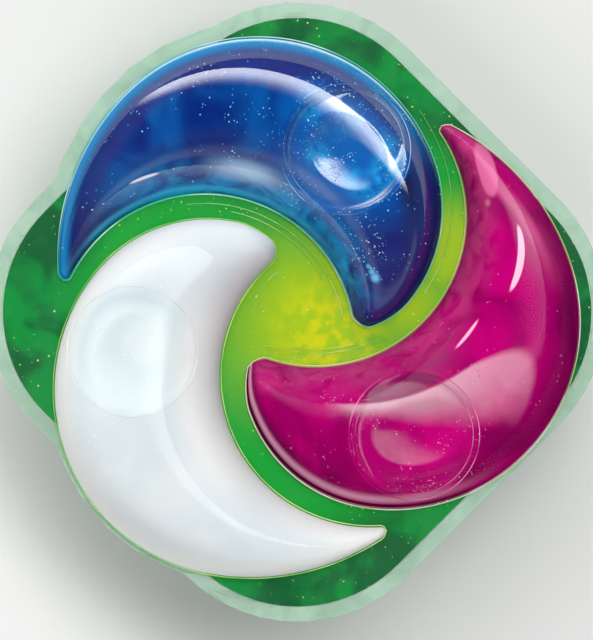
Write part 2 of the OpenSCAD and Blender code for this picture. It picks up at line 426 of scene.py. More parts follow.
# Each liquid's tones, in the order in which they are laid over each other
BLUE = {
    "deep": (0.0, 0.018, 0.19, 1), "bright": (0.0, 0.085, 0.36, 1), "tail": (0.008, 0.006, 0.075, 1),
    "head": (0.016, 0.010, 0.15, 1), "bubble": (0.0, 0.13, 0.52, 1), "navy_shade": (0.001, 0.002, 0.045, 1),
    "lit": (0.0, 0.40, 0.82, 1), "side": (0.0, 0.32, 0.70, 1), "pale": (0.48, 0.64, 0.90, 1),
    "edge": (0.04, 0.42, 0.72, 1), "highlight_streak": (0.8, 0.72, 0.86, 1), "outside": (0.004, 0.016, 0.15, 1),
    "wall": (0.0, 0.22, 0.55, 1), "drop_highlight": (0.14, 0.55, 0.9, 1), "violet": (0.02, 0.018, 0.17, 1),
    "rim": (0.72, 0.92, 1.0, 1),
}
WHITE = {
    "shadow": (0.67, 0.705, 0.755, 1), "milk": (0.74, 0.75, 0.785, 1), "bubble": (0.70, 0.77, 0.81, 1),
    "ring": (0.58, 0.65, 0.71, 1), "heart_light": (0.80, 0.84, 0.87, 1), "blush": (0.85, 0.78, 0.84, 1),
    "slope_light": (0.76, 0.80, 0.86, 1), "edge": (0.76, 0.75, 0.78, 1), "inside": (0.90, 0.88, 0.91, 1),
    "outside": (0.82, 0.80, 0.82, 1),
}
MAGENTA = {
    "deep": (0.26, 0.0, 0.09, 1), "bright": (0.48, 0.0, 0.155, 1), "shade": (0.10, 0.0, 0.05, 1),
    "bubble": (0.56, 0.0, 0.19, 1), "side": (0.50, 0.05, 0.19, 1), "crescent": (0.18, 0.0, 0.07, 1),
    "highlight_head": (0.66, 0.38, 0.47, 1), "highlight_tail": (0.66, 0.24, 0.38, 1), "lobe_highlight": (0.80, 0.18, 0.40, 1),
    "spot": (0.8, 0.35, 0.5, 1), "band": (0.72, 0.16, 0.34, 1), "arc": (0.92, 0.5, 0.68, 1),
    "highlight_streak": (0.9, 0.45, 0.65, 1), "maroon_shade": (0.10, 0.0, 0.035, 1), "glint": (0.80, 0.34, 0.52, 1),
    "line": (0.06, 0.0, 0.02, 1), "edge": (0.8, 0.3, 0.5, 1),
}
# Light caught round the blue bubble's pocket: spots, each with its share
BLUE_LIT = (
    ((4.1, 16.4, 20.4, 2.6, 0.2), 0.5), ((2.0, 13.6, 20.2, 1.8, 0.3), 0.8),
    ((4.8, 11.7, 19.9, 1.5, 0.3), 1.0), ((1.4, 17.8, 21.1, 2.2, 0.3), 0.5),
)
BLUE_LIT_SIDE = (8.2, 12.0, 20.5, 5.2, 1.0)
# Spots of a painted highlight where a small air drop lies under the film
BLUE_DROP_HIGHLIGHT = ((6.8, 3.0, 18.4, 0.65, 0.1), (6.5, 3.5, 18.5, 0.5, 0.0), (6.2, 4.0, 18.5, 0.35, 0.0))
# Spots of the white bubble's painted shade on one side of its ring and painted light in its middle
WHITE_RING_SHADE = (-16.6, -0.2, 19.0, 7.0, 2.0)
WHITE_BUBBLE_LIGHT = (-13.4, -2.6, 20.6, 2.6, 1.3)
# Spot of a painted highlight at the end of the magenta's tail
MAGENTA_HIGHLIGHT_SPOT = (16.45, 9.6, 17.6, 0.6, 0.1)

main_c = np.array([MAIN_OFF, 0])
head_c = main_c + (MAIN_R - HEAD_R) * toward(HEAD_JOIN)
tail_c = main_c + (MAIN_R - TAIL_R) * toward(TAIL_JOIN)
inner_c = turned(head_c, 120) + (CHANNEL_MID - CHANNEL_TAIL) * toward(CHANNEL_TURN)
inner_r = HEAD_R + CHANNEL_TAIL
bubble_c = BUBBLE_OFF * toward(BUBBLE_TURN)


def heading(v):
    """The direction of a vector, in degrees."""
    return np.degrees(np.arctan2(v[1], v[0]))


def far_side(c, r, a):
    """Distance from the inner arc's centre to the far side of a circle, in a direction."""
    v = c - inner_c
    d, b = np.linalg.norm(v), np.radians(a - heading(v))
    return d * np.cos(b) + np.sqrt(r * r - (d * np.sin(b)) ** 2)


def spread(c, r, distance):
    """Angle between a circle's centre and its edge, at a distance from the inner arc's centre."""
    d = np.linalg.norm(c - inner_c)
    return np.degrees(np.arccos((distance**2 + d**2 - r * r) / (2 * distance * d)))


head_end = heading(main_c + MAIN_R * toward(HEAD_JOIN) - inner_c)
tail_start = heading(main_c + MAIN_R * toward(TAIL_JOIN) - inner_c)
head_tip = heading(head_c - inner_c) - spread(head_c, HEAD_R, inner_r + 2 * HEAD_TIP_R)
tail_tip = heading(tail_c - inner_c) + spread(tail_c, TAIL_R, inner_r + 2 * TAIL_TIP_R)
head_round = np.degrees(HEAD_TIP_R / (inner_r + HEAD_TIP_R))
tail_round = np.degrees(TAIL_TIP_R / (inner_r + TAIL_TIP_R))
widest = np.linalg.norm(main_c - inner_c) + MAIN_R - inner_r


def chamber_width(a):
    """Distance from a chamber's inner edge to its outer edge, in a direction."""
    outer = np.where(a < tail_start, far_side(main_c, MAIN_R, a), far_side(tail_c, TAIL_R, a))
    return np.where(a < head_end, far_side(head_c, HEAD_R, a), outer) - inner_r


tip = np.linspace(5, 90, TIP_STEPS + 1)
body = np.linspace(head_tip + head_round, tail_tip - tail_round, ALONG + 1)[1:-1]
station_a = np.concatenate([
    head_tip + head_round * (1 - np.cos(np.radians(tip))), body,
    (tail_tip - tail_round * (1 - np.cos(np.radians(tip))))[::-1]])
station_share = np.concatenate([np.sin(np.radians(tip)), np.ones(len(body)), np.sin(np.radians(tip))[::-1]])
station_along = (station_a - station_a[0]) / (station_a[-1] - station_a[0])


def dome(grow, lift=0.0, across_steps=ACROSS):
    """Rows of points over a chamber, from its inner foot over the crown to its outer foot."""
    full = chamber_width(station_a)[:, None]
    width = full * station_share[:, None]
    s = np.radians(np.linspace(0, 180, across_steps + 1))[None, :]
    crown = SWIRL_H * (width / widest) ** CROWN_FALL + grow
    share = -np.sign(np.cos(s)) * np.abs(np.cos(s)) ** (2 / CROWN_ACROSS)
    radius = inner_r + full / 2 + (share + CROWN_LEAN * (1 - share**2)) * (width / 2 + grow)
    xy = inner_c + radius[..., None] * toward(station_a)[:, None, :]
    z = TOP_Z + lift + crown * np.maximum(np.sin(s), 0) ** (2 / CROWN_UP)
    return np.concatenate([xy, z[..., None]], axis=-1)


def crown_height(xy):
    """Height of the film's inner face over points in the wide part of a chamber."""
    v = xy - inner_c
    a = np.degrees(np.arctan2(v[..., 1], v[..., 0]))
    full = chamber_width(a)
    leaning = (np.linalg.norm(v, axis=-1) - inner_r - full / 2) / (full / 2)
    share = (1 - np.sqrt(1 - 4 * CROWN_LEAN * (leaning - CROWN_LEAN))) / (2 * CROWN_LEAN)
    c = np.clip(np.abs(share), 0, 1) ** CROWN_ACROSS
    return TOP_Z + SWIRL_H * (full / widest) ** CROWN_FALL * np.sqrt(1 - c) ** (2 / CROWN_UP)


def tip_points(grow, z):
    """Ends of a chamber's outline, at its head and at its tail."""
    head = inner_c + (inner_r + HEAD_TIP_R) * toward(head_tip - np.degrees(grow / inner_r))
    tail = inner_c + (inner_r + TAIL_TIP_R) * toward(tail_tip + np.degrees(grow / inner_r))
    return np.array([*head, z]), np.array([*tail, z])


def dome_part(rows, head, tail):
    """Points and outward faces of a dome, closed at both tips."""
    m, n = rows.shape[:2]
    points = np.vstack([head, rows.reshape(-1, 3), tail])
    index = 1 + np.arange(m * n).reshape(m, n)
    a, b, c, d = index[:-1, :-1], index[1:, :-1], index[1:, 1:], index[:-1, 1:]
    faces = np.stack([a, d, c, b], axis=-1).reshape(-1, 4).tolist()
    faces += [[0, int(index[0, j + 1]), int(index[0, j])] for j in range(n - 1)]
    last = len(points) - 1
    faces += [[last, int(index[-1, j]), int(index[-1, j + 1])] for j in range(n - 1)]
    return points, faces, index


def at_points(values):
    """Values of a dome's rows in the order of its points."""
    return np.concatenate([values[0, :1], values.ravel(), values[-1, :1]]).astype(np.float32)


def from_feet(rows):
    """Distances of a dome's points from its inner foot and from its outer foot, seen from above."""
    return [np.linalg.norm(rows[..., :2] - rows[:, foot, None, :2], axis=-1) for foot in (0, -1)]


def smooth_step(x):
    """0 to 1, eased at both ends."""
    x = np.clip(x, 0, 1)
    return x * x * (3 - 2 * x)


def liquid_rows(name):
    """The liquid's surface: the dome under the film, with the air bubble's dish and pocket in it."""
    rows = dome(-LIQUID_GAP)
    depth, place, bottom, curve_r = AIR_POCKETS[name]
    away = turned(rows[..., :2] - bubble_c, TURNS[name])
    r = np.linalg.norm(away, axis=-1)
    dish = depth * smooth_step((BUBBLE_R - r) / DISH_EASE)
    rows[..., 2] = TOP_Z + (rows[..., 2] - TOP_Z) * (1 - dish / SWIRL_H)
    pocket = TOP_Z + bottom + ((away - place) ** 2 / (2 * np.array(curve_r))).sum(-1)
    share = np.clip(0.5 + 0.5 * (pocket - rows[..., 2]) / POCKET_SOFT, 0, 1)
    lowered = pocket + (rows[..., 2] - pocket) * share - POCKET_SOFT * share * (1 - share)
    rows[..., 2] = np.where(r < BUBBLE_R, lowered, rows[..., 2])
    return rows


def swirl_liquid(name, material, open_material):
    """A chamber's liquid, whose points know where in the chamber they are."""
    rows = liquid_rows(name)
    rows[..., 2] = np.maximum(rows[..., 2], TOP_Z + FOOT_LIFT)
    head, tail = tip_points(-LIQUID_GAP, TOP_Z + FOOT_LIFT)
    points, faces, index = dome_part(rows, head, tail)
    inner, outer = index[:, 0].tolist(), index[:, -1].tolist()
    faces += [[inner[i], inner[i + 1], outer[i + 1], outer[i]] for i in range(len(inner) - 1)]
    faces += [[0, inner[0], outer[0]], [len(points) - 1, outer[-1], inner[-1]]]
    node = name + "_liquid"
    obj = piece(node, (turned(points, TURNS[name]), faces), material, node)
    obj.data.materials.append(open_material)
    for face in obj.data.polygons:
        place = turned(np.array(face.center[:2]) / MM, -TURNS[name])
        in_bubble = np.linalg.norm(place - bubble_c) < BUBBLE_R - WET_RING
        if in_bubble and face.center[2] > (TOP_Z + CLEAR_OF_FOOT) * MM:
            face.material_index = 1
    from_inner, from_outer = from_feet(rows)
    placed = {
        "along": np.broadcast_to(station_along[:, None], from_inner.shape),
        "from_inner": from_inner, "from_outer": from_outer,
        "from_bubble": np.linalg.norm(rows[..., :2] - bubble_c, axis=-1),
        "up": (rows[..., 2] - TOP_Z) / (rows[..., 2:].max(axis=1) - TOP_Z)}
    for label, values in placed.items():
        attribute = obj.data.attributes.new(label, "FLOAT", "POINT")
        attribute.data.foreach_set("value", at_points(values))
    obj.visible_shadow = False  # light goes on through the clear dye to the green below
    return obj


def between(tree, value, centre, half):
    """1 at a value, eased to 0 at half a band's width from it."""
    off = maths(tree, "ABSOLUTE", maths(tree, "SUBTRACT", value, centre))
    return scaled(tree, off, half, 0.0)


def measures(tree):
    """A point's share along its chamber, and its distances from both feet and from the bubble's centre."""
    return [stored(tree, name) for name in ("along", "from_inner", "from_outer", "from_bubble")]


def blue_colour(tree):
    """The blue's tones: deep at both ends, painted light round the bubble and along the feet, painted shade
    on the outer side and painted highlights on the crown.
    """
    along, inner, outer, bubble = measures(tree)
    cloud = scaled(tree, noise(tree, 170, 2.0, 0.8), 0.35, 0.65)
    colour = mix(tree, cloud, BLUE["deep"], BLUE["bright"])
    colour = coat(tree, colour, BLUE["tail"], scaled(tree, along, 0.66, 0.98))
    colour = coat(tree, colour, BLUE["head"], scaled(tree, along, 0.27, 0.08), 0.8)
    colour = coat(tree, colour, BLUE["bubble"], scaled(tree, bubble, 8.5, 3.0), 0.8)
    # Painted shade: dark navy on the outer side near the head, the side away from the light
    colour = coat(tree, colour, BLUE["navy_shade"], between(tree, outer, 3.0, 1.7),
                  between(tree, along, 0.25, 0.17), scaled(tree, bubble, 5.5, 6.1))
    side = times(tree, between(tree, bubble, 3.9, 1.9), near(tree, *BLUE_LIT_SIDE))
    lit = larger(tree, side, *[times(tree, near(tree, *spot), share) for spot, share in BLUE_LIT])
    colour = coat(tree, colour, BLUE["lit"], lit, scaled(tree, noise(tree, 700, 3.0, 1.0), 0.3, 0.62))
    # Lighter cyan along the inner foot: partly the thin liquid's own tone, partly painted light
    colour = coat(tree, colour, BLUE["side"], scaled(tree, inner, 3.6, 0.9),
                  scaled(tree, noise(tree, 300, 3.0, 1.5), 0.25, 0.7),
                  scaled(tree, along, 0.03, 0.14), scaled(tree, along, 0.85, 0.6))
    # Painted highlight: a broad soft pale patch on the inner slope
    colour = coat(tree, colour, BLUE["pale"], between(tree, inner, 2.3, 1.4),
                  between(tree, along, 0.47, 0.12), 0.9)
    # Painted glow right at the inner foot
    colour = coat(tree, colour, BLUE["edge"], between(tree, inner, 0.35, 0.4),
                  scaled(tree, along, 0.15, 0.3), 0.8)
    # Painted highlight: a thin bright streak near the inner foot
    highlight_streak = times(tree, between(tree, inner, 2.15, 0.2), between(tree, along, 0.695, 0.05))
    colour = coat(tree, colour, BLUE["highlight_streak"], scaled(tree, highlight_streak, 0.1, 0.5))
    # Painted shade: a darker band over the outer wall, below the highlight
    colour = coat(tree, colour, BLUE["outside"], scaled(tree, outer, 3.0, 1.6), 0.75)
    past_head = scaled(tree, along, 0.18, 0.34)
    # Painted edge light: lighter cyan over the outer wall
    colour = coat(tree, colour, BLUE["wall"], scaled(tree, outer, 1.5, 0.35), past_head)
    # Painted highlight of a small air drop under the film
    colour = coat(tree, colour, BLUE["drop_highlight"], larger(tree, *[near(tree, *spot) for spot in BLUE_DROP_HIGHLIGHT]), 0.9)
    colour = coat(tree, colour, BLUE["violet"], between(tree, outer, 2.6, 1.2),
                  scaled(tree, along, 0.2, 0.5), 0.6)
    # Painted rim highlight: a pale stripe along the shoulder of the outer wall
    return coat(tree, colour, BLUE["rim"], scaled(tree, outer, 1.2, 0.2),
                between(tree, stored(tree, "up"), 0.32, 0.18), past_head, 0.8)


def white_colour(tree):
    """The white's tones: soft grey clouds, a ring of painted shade in the bubble with painted light in its
    middle, and painted light on the feet and inner slope.
    """
    along, inner, outer, bubble = measures(tree)
    cloud = scaled(tree, noise(tree, 140, 2.0, 0.6), 0.35, 0.7)
    colour = mix(tree, cloud, WHITE["shadow"], WHITE["milk"])
    colour = coat(tree, colour, WHITE["bubble"], scaled(tree, bubble, 6.2, 4.8), 0.6)
    # Painted shade on one side of the bubble's ring
    colour = coat(tree, colour, WHITE["ring"], between(tree, bubble, 4.7, 1.3),
                  near(tree, *WHITE_RING_SHADE), 0.75)
    # Painted light in the middle of the bubble
    colour = coat(tree, colour, WHITE["heart_light"], near(tree, *WHITE_BUBBLE_LIGHT), 0.7)
    colour = coat(tree, colour, WHITE["blush"], between(tree, inner, 2.6, 1.2),
                  between(tree, along, 0.42, 0.24), 0.6)
    # Painted light on the inner slope, where it would fall into shade
    colour = coat(tree, colour, WHITE["slope_light"], between(tree, inner, 4.3, 0.7),
                  between(tree, along, 0.6, 0.3), 0.5)
    # Painted light: the feet and the inner slope are lighter, to even out the shade on the walls
    colour = coat(tree, colour, WHITE["edge"], scaled(tree, inner, 2.6, 0.3))
    colour = coat(tree, colour, WHITE["inside"], scaled(tree, inner, 4.8, 2.2),
                  scaled(tree, along, 0.12, 0.3), scaled(tree, along, 0.72, 0.5))
    return coat(tree, colour, WHITE["outside"], scaled(tree, outer, 2.6, 0.3))


def sums(tree, value, factor, offset):
    """A value times a factor, plus an offset."""
    return maths(tree, "MULTIPLY_ADD", value, factor, offset)


def bowed(tree, value, centre):
    """The square of how far a value is from a centre."""
    off = sums(tree, value, 1.0, -centre)
    return times(tree, off, off)


def wedge(tree, along, inner):
    """A painted highlight on the magenta, shaped as a swirl: crisp towards the pod's middle, fading and
    widening outwards.
    """
    bend = sums(tree, along, 8.5, 1.35)
    inside = maths(tree, "SUBTRACT", inner, bend)
    reach = sums(tree, bowed(tree, along, 0.2), 100.0, 1.4)
    share = maths(tree, "DIVIDE", inside, reach)
    share = sums(tree, noise(tree, 420, 3.0, 0.5), 0.3, sums(tree, share, 1.0, -0.15))
    nose = sums(tree, bowed(tree, inner, 8.6), 0.0075, along)
    return times(tree, scaled(tree, inside, 0.0, 0.35), scaled(tree, share, 0.95, 0.0),
                 scaled(tree, along, 0.17, 0.25), scaled(tree, nose, 0.552, 0.528))


def magenta_colour(tree):
    """The magenta's tones: a painted highlight swirl, a dark crescent in the bubble, painted highlight
    lines on the crown and painted shade and reflection on the head's outer wall.
    """
    along, inner, outer, bubble = measures(tree)
    cloud = scaled(tree, noise(tree, 170, 2.0, 0.8), 0.35, 0.65)
    colour = mix(tree, cloud, MAGENTA["deep"], MAGENTA["bright"])
    colour = coat(tree, colour, MAGENTA["shade"], scaled(tree, outer, 5.5, 0.8),
                  between(tree, along, 0.62, 0.36), 0.6)
    colour = coat(tree, colour, MAGENTA["bubble"], scaled(tree, bubble, 6.2, 5.2), 0.4)
    colour = coat(tree, colour, MAGENTA["side"], scaled(tree, inner, 3.6, 0.7),
                  scaled(tree, noise(tree, 300, 3.0, 1.5), 0.25, 0.65), 0.75)
    colour = coat(tree, colour, MAGENTA["crescent"], scaled(tree, bubble, 5.8, 5.4),
                  scaled(tree, between(tree, along, 0.34, 0.12), 0.0, 0.4),
                  scaled(tree, inner, 2.0, 2.8), scaled(tree, inner, 4.9, 4.3), 0.85)
    # Painted highlight: the pale swirl where the film would reflect the softbox
    milk = mix(tree, scaled(tree, along, 0.34, 0.54), MAGENTA["highlight_head"], MAGENTA["highlight_tail"])
    colour = coat(tree, colour, milk, wedge(tree, along, inner), 0.92)
    # Painted highlights at the tail: a pale pink lobe and a bright spot at its end
    lobe_highlight = times(tree, between(tree, inner, 2.2, 1.3), between(tree, along, 0.865, 0.1))
    colour = coat(tree, colour, MAGENTA["lobe_highlight"], scaled(tree, lobe_highlight, 0.25, 0.45), 0.65)
    colour = coat(tree, colour, MAGENTA["spot"], near(tree, *MAGENTA_HIGHLIGHT_SPOT), 0.6)
    colour = coat(tree, colour, MAGENTA["band"], between(tree, outer, 2.4, 1.1),
                  between(tree, along, 0.76, 0.13), 0.55)
    # Painted highlights: a thin bright arc and a short streak on the crown
    arc = times(tree, between(tree, inner, sums(tree, bowed(tree, along, 0.66), -90.0, 5.0), 0.5),
                between(tree, along, 0.683, 0.1))
    colour = coat(tree, colour, MAGENTA["arc"], scaled(tree, arc, 0.25, 0.42))
    highlight_streak = times(tree, between(tree, inner, 3.5, 0.22), between(tree, along, 0.507, 0.055))
    colour = coat(tree, colour, MAGENTA["highlight_streak"], scaled(tree, highlight_streak, 0.15, 0.5))
    # Painted shade: a dark maroon band on the head's outer wall
    colour = coat(tree, colour, MAGENTA["maroon_shade"], scaled(tree, outer, 2.8, 0.9),
                  scaled(tree, along, 0.28, 0.06), 0.75)
    head = scaled(tree, along, 0.42, 0.22)
    # Painted reflection: a pale band along the head's outer foot
    colour = coat(tree, colour, MAGENTA["glint"], between(tree, outer, 0.85, 0.6), head, 0.85)
    colour = coat(tree, colour, MAGENTA["line"], between(tree, outer, 0.3, 0.22), head)
    # Painted rim highlight: a pale pink stripe low on the outer wall
    return coat(tree, colour, MAGENTA["edge"], scaled(tree, outer, 0.6, 0.1),
                between(tree, stored(tree, "up"), 0.17, 0.08))


# Wetting the film, the liquid has no shine of its own; open to the air bubble it shines
SWIRL_FINISH = {
    "blue": (blue_colour, 0.12, 0.1, (0.1, 0.3, 1.0), 1.5, 2.1),
    "white": (white_colour, 0.3, 1.0, (1.0, 1.0, 1.0), 3.0, 1.3),
    "magenta": (magenta_colour, 0.12, 0.1, (1.0, 0.2, 0.4), 1.5, 1.32),
}
liquids = {}
for name, (*dye, air_ior) in SWIRL_FINISH.items():
    liquids[name] = swirl_liquid(name, coloured_liquid(name + "_liquid", *dye),
                                 coloured_liquid(name + "_at_bubble", *dye, air_ior, 0.5))

# ---- Air bubble edges ----
# Where each air bubble meets the film, the liquid climbs it in a fine round bead.
# A second, finer bead lies inside the first and a little lower.
# Beads: the ring's radius, the bead's own and how far it lies under the liquid's crown
EDGE_BEADS = ((5.7, 0.035, 0.0), (5.15, 0.022, 0.28))
EDGE_COLOURS = {
    "blue": ((0.25, 0.6, 0.9, 1), (0.0, 0.07, 0.35, 1)),
    "white": ((0.8, 0.84, 0.88, 1), (0.66, 0.72, 0.78, 1)),
    "magenta": ((0.85, 0.35, 0.55, 1), (0.5, 0.0, 0.16, 1)),
}


def socket_id(group, name):
    """The name by which a modifier knows a group's input."""
    return next(i.identifier for i in group.interface.items_tree if i.name == name and i.in_out == "INPUT")


def bead_group():
    """A round bead along an edge loop."""
    group, given = new_group("bead_along", "GeometryNodeTree", {
        "Path": ("Geometry", None), "Radius": ("Float", 0.0001), "Sides": ("Int", 8),
        "Finish": ("Material", None)}, {"Bead": "Geometry"})
    path = node_in(group, "GeometryNodeMeshToCurve", {"Mesh": given.outputs["Path"]})
    section = node_in(group, "GeometryNodeCurvePrimitiveCircle", {
        "Resolution": given.outputs["Sides"], "Radius": given.outputs["Radius"]})
    tube = node_in(group, "GeometryNodeCurveToMesh", {
        "Curve": path.outputs["Curve"], "Profile Curve": section.outputs["Curve"]})
    soft = node_in(group, "GeometryNodeSetShadeSmooth", {"Geometry": tube.outputs["Mesh"]})
    real = node_in(group, "GeometryNodeRealizeInstances", {"Geometry": soft.outputs["Geometry"]})
    done = node_in(group, "GeometryNodeSetMaterial", {
        "Geometry": real.outputs["Geometry"], "Material": given.outputs["Finish"]})
    out = node_in(group, "NodeGroupOutput")
    group.links.new(done.outputs["Geometry"], out.inputs["Bead"])
    return group


def grown(name, mesh, group, values):
    """A piece that a node tree makes from a mesh, as a plain mesh on the pod."""
    obj = bpy.data.objects.new(name, mesh)
    bpy.context.scene.collection.objects.link(obj)
    modifier = obj.modifiers.new("grow", "NODES")
    modifier.node_group = group
    for key, value in values.items():
        modifier[socket_id(group, key)] = value
    evaluated = obj.evaluated_get(bpy.context.evaluated_depsgraph_get())
    made = bpy.data.meshes.new_from_object(evaluated)
    made.name = name
    obj.modifiers.remove(modifier)
    obj.data = made
    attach(obj, "root")
    return obj


def loops_mesh(name, loops, closed=True):
    """Edges along loops of points in millimetres."""
    mesh = bpy.data.meshes.new(name)
    points, edges, at = [], [], 0
    for loop in loops:
        n = len(loop)
        points += (np.asarray(loop) * MM).tolist()
        edges += [(at + k, at + (k + 1) % n) for k in range(n if closed else n - 1)]
        at += n
    mesh.from_pydata(points, edges, [])
    return mesh


def shiny(name, light, dark, roughness, scale):
    """A small wet piece that comes and goes between a light and a dark tone."""
    material, tree = new_material(name)
    tone = mix(tree, scaled(tree, noise(tree, scale), 0.42, 0.62), dark, light)
    body = node_in(tree, "ShaderNodeBsdfPrincipled", {"Base Color": tone, "Roughness": roughness})
    node_in(tree, "ShaderNodeOutputMaterial", {"Surface": body.outputs[0]})
    return material


bead = bead_group()
for name, turn in TURNS.items():
    for number, (radius, thick, below) in enumerate(EDGE_BEADS):
        circle = bubble_c + radius * toward(np.arange(0, 360, 3))
        height = crown_height(circle) - LIQUID_GAP - below
        loop = turned(np.column_stack([circle, height]), turn)
        label = f"{name}_bubble_edge_{number}"
        finish = shiny(label, *EDGE_COLOURS[name], 0.1, 160)
        grown(label, loops_mesh(label, [loop]), bead, {
            "Radius": thick * MM, "Sides": 8, "Finish": finish})

# ---- Fine bubbles ----
# Fine air bubbles that hang in the liquids just under the film, in loose clusters.
# They are grown over each liquid's upper faces and sunk by a part of their size.
# Each liquid's: most to a square millimetre, largest radius, seed, light and dark tone
SPECKS = {
    "blue": (16.0, 0.095, 11, (0.5, 0.85, 1.0, 1), (0.02, 0.3, 0.7, 1)),
    "white": (4.0, 0.11, 12, (0.97, 0.98, 1.0, 1), (0.85, 0.9, 0.95, 1)),
    "magenta": (10.0, 0.08, 13, (0.9, 0.4, 0.6, 1), (0.65, 0.05, 0.25, 1)),
    "green": (1.6, 0.11, 14, (0.75, 0.85, 0.3, 1), (0.3, 0.6, 0.05, 1)),
}
# How far a bubble is sunk, as a share of its radius, and how far up the face under it looks
SPECK_SINK, SPECK_UP = 0.35, 0.45


def speck_group():
    """Small balls scattered over the upward faces, denser in clusters."""
    group, given = new_group("fine_bubbles", "GeometryNodeTree", {
        "Surface": ("Geometry", None), "Per Square Millimetre": ("Float", 1), "Radius": ("Float", 0.0001),
        "Seed": ("Int", 1), "Finish": ("Material", None)}, {"Bubbles": "Geometry"})
    cluster = node_in(group, "ShaderNodeTexNoise", {"Scale": 330.0, "Detail": 1.0})
    cluster = scaled(group, cluster.outputs["Fac"], 0.42, 0.68)
    density = maths(group, "MULTIPLY", cluster, given.outputs["Per Square Millimetre"])
    away = node_in(group, "GeometryNodeInputNamedAttribute", {"Name": "from_bubble"}, data_type="FLOAT")
    closer = node_in(group, "ShaderNodeMapRange", {
        "Value": away.outputs[0], "From Min": 4.0, "From Max": 16.0, "To Min": 1.0, "To Max": 0.2})
    density = times(group, density, closer.outputs[0], 1e6)
    facing = node_in(group, "GeometryNodeInputNormal").outputs[0]
    way = node_in(group, "ShaderNodeSeparateXYZ", {"Vector": facing})
    up = node_in(group, "FunctionNodeCompare", {0: way.outputs["Z"], 1: SPECK_UP}, operation="GREATER_THAN")
    points = node_in(group, "GeometryNodeDistributePointsOnFaces", {
        "Mesh": given.outputs["Surface"], "Selection": up.outputs["Result"],
        "Density": density, "Seed": given.outputs["Seed"]})
    ball = node_in(group, "GeometryNodeMeshIcoSphere", {
        "Radius": given.outputs["Radius"], "Subdivisions": 1})
    size = node_in(group, "FunctionNodeRandomValue", {
        2: 0.0, 3: 1.0, "Seed": given.outputs["Seed"]}, data_type="FLOAT")
    size = maths(group, "POWER", size.outputs[1], 3.0)
    size = node_in(group, "ShaderNodeMapRange", {"Value": size, "To Min": 0.35, "To Max": 1.0})
    depth = maths(group, "MULTIPLY", given.outputs["Radius"], -SPECK_SINK)
    below = node_in(group, "ShaderNodeVectorMath", {0: points.outputs["Normal"]}, operation="SCALE")
    group.links.new(depth, below.inputs["Scale"])
    sunk = node_in(group, "GeometryNodeSetPosition", {
        "Geometry": points.outputs["Points"], "Offset": below.outputs["Vector"]})
    placed = node_in(group, "GeometryNodeInstanceOnPoints", {
        "Points": sunk.outputs["Geometry"], "Instance": ball.outputs["Mesh"], "Scale": size.outputs[0]})
    real = node_in(group, "GeometryNodeRealizeInstances", {"Geometry": placed.outputs["Instances"]})
    soft = node_in(group, "GeometryNodeSetShadeSmooth", {"Geometry": real.outputs["Geometry"]})
    done = node_in(group, "GeometryNodeSetMaterial", {
        "Geometry": soft.outputs["Geometry"], "Material": given.outputs["Finish"]})
    out = node_in(group, "NodeGroupOutput")
    group.links.new(done.outputs["Geometry"], out.inputs["Bubbles"])
    return group


specks = speck_group()
liquids["green"] = bpy.data.objects["green_liquid"]
for name, (per_mm2, radius, seed, light, dark) in SPECKS.items():
    grown(name + "_fine_bubbles", liquids[name].data.copy(), specks, {
        "Per Square Millimetre": per_mm2, "Radius": radius * MM, "Seed": seed,
        "Finish": shiny(name + "_fine_bubbles", light, dark, 0.2, 700)})

# ---- Top film ----
# One clear film drawn over the three swirl chambers and sealed flat between them and at the flange.
# Each chamber's wall turns into the flat seal with a small bead that catches the light.
TOP_TINT, TOP_MILK = (0.97, 0.985, 0.97, 1), (0.8, 0.9, 0.85, 1)
SEAL_BEAD, PULL_LINE = 0.05, 0.02
SEAL_COLOURS = {
    "blue": ((0.55, 0.85, 0.9, 1), (0.1, 0.5, 0.45, 1)),
    "white": ((0.5, 0.72, 0.22, 1), (0.16, 0.5, 0.08, 1)),
    "magenta": ((0.92, 0.7, 0.72, 1), (0.5, 0.55, 0.2, 1)),
}
# Fine pull lines in the flat film: distance from a chamber's foot, and the stretch that they run over
PULL_LINES = {
    "blue": ((0.8, 0.03, 0.30), (1.3, 0.08, 0.24), (0.9, 0.86, 0.97)),
    "white": ((0.8, 0.03, 0.1),),
    "magenta": ((1.1, 0.02, 0.17), (1.5, 0.05, 0.14)),
}
# Gloss of the flat film, of the walls and of the crowns over the white and the magenta
FLAT_GLOSS, WALL_GLOSS, WHITE_GLOSS = 0.6, 0.35, 0.15
MAGENTA_INNER_GLOSS, MAGENTA_HEAD_GLOSS, MAGENTA_TAIL_GLOSS = 0.05, 0.06, 0.20
FILM_ACROSS, FILM_LIFT = 60, 0.025


def film_dome(turn):
    """The film over one chamber: its outer and inner face, joined round the foot."""
    outer = dome(FILM, FILM_LIFT, FILM_ACROSS)
    inner = dome(0.0, FILM_LIFT, FILM_ACROSS)
    a, b, index = dome_part(outer, *tip_points(FILM, TOP_Z + FILM_LIFT))
    c, d, _ = dome_part(inner, *tip_points(0.0, TOP_Z + FILM_LIFT))
    n = len(a)
    foot = [0] + index[:, 0].tolist() + [n - 1] + index[::-1, -1].tolist()
    rim = [[p, q, n + q, n + p] for p, q in zip(foot, foot[1:] + foot[:1])]
    points, faces = merged((a, b), inside_out((c, d)))
    return turned(points, turn), faces + rim


